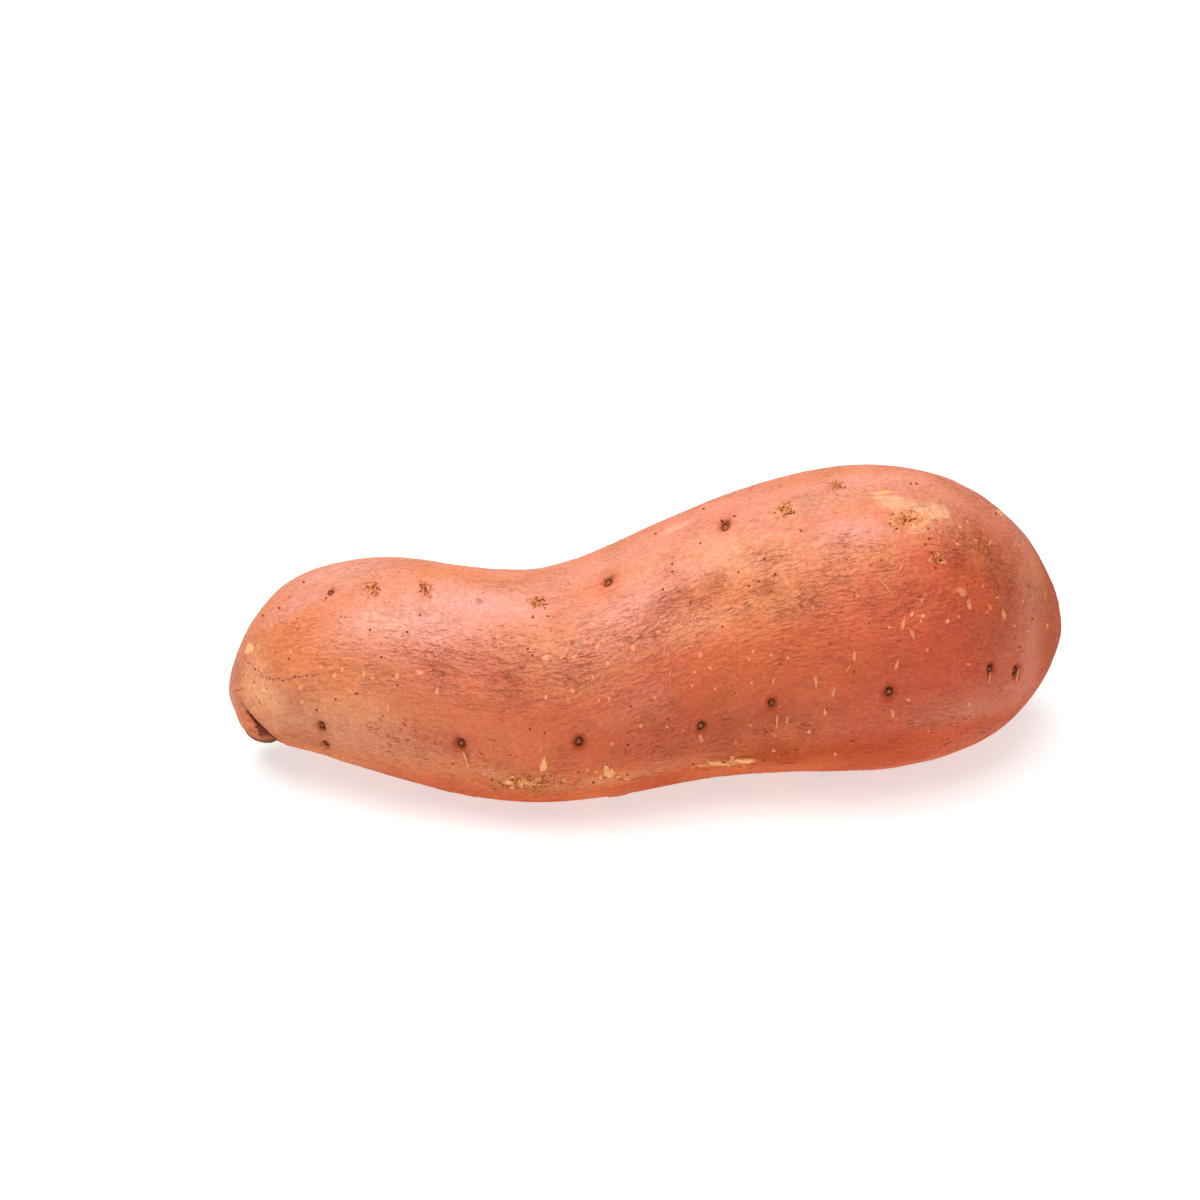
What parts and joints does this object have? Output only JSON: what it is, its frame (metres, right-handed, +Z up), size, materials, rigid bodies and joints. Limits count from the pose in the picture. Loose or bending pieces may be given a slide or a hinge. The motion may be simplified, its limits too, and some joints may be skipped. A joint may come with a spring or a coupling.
{
  "type": "sweet potato",
  "caption": "Whole raw sweet potato, slim at the stem end and thick at the tail, gently bent, with sunken and corky root scars.",
  "frame": {"origin": "middle of the bounding box's bottom face, on the surface that the root rests on", "axes": "+X along the root from the hooked stem end to the thick tail end, +Y to the back, +Z up"},
  "size_m": [0.1806, 0.0732, 0.0652],
  "materials": {
    "skin": "thin orange-pink skin, satin, with corky scars",
    "cork": "dry matte cork of the scars, scabs and cut stem"
  },
  "bodies": {
    "root": {"sweet_potato": "skin"}
  },
  "joints": []
}
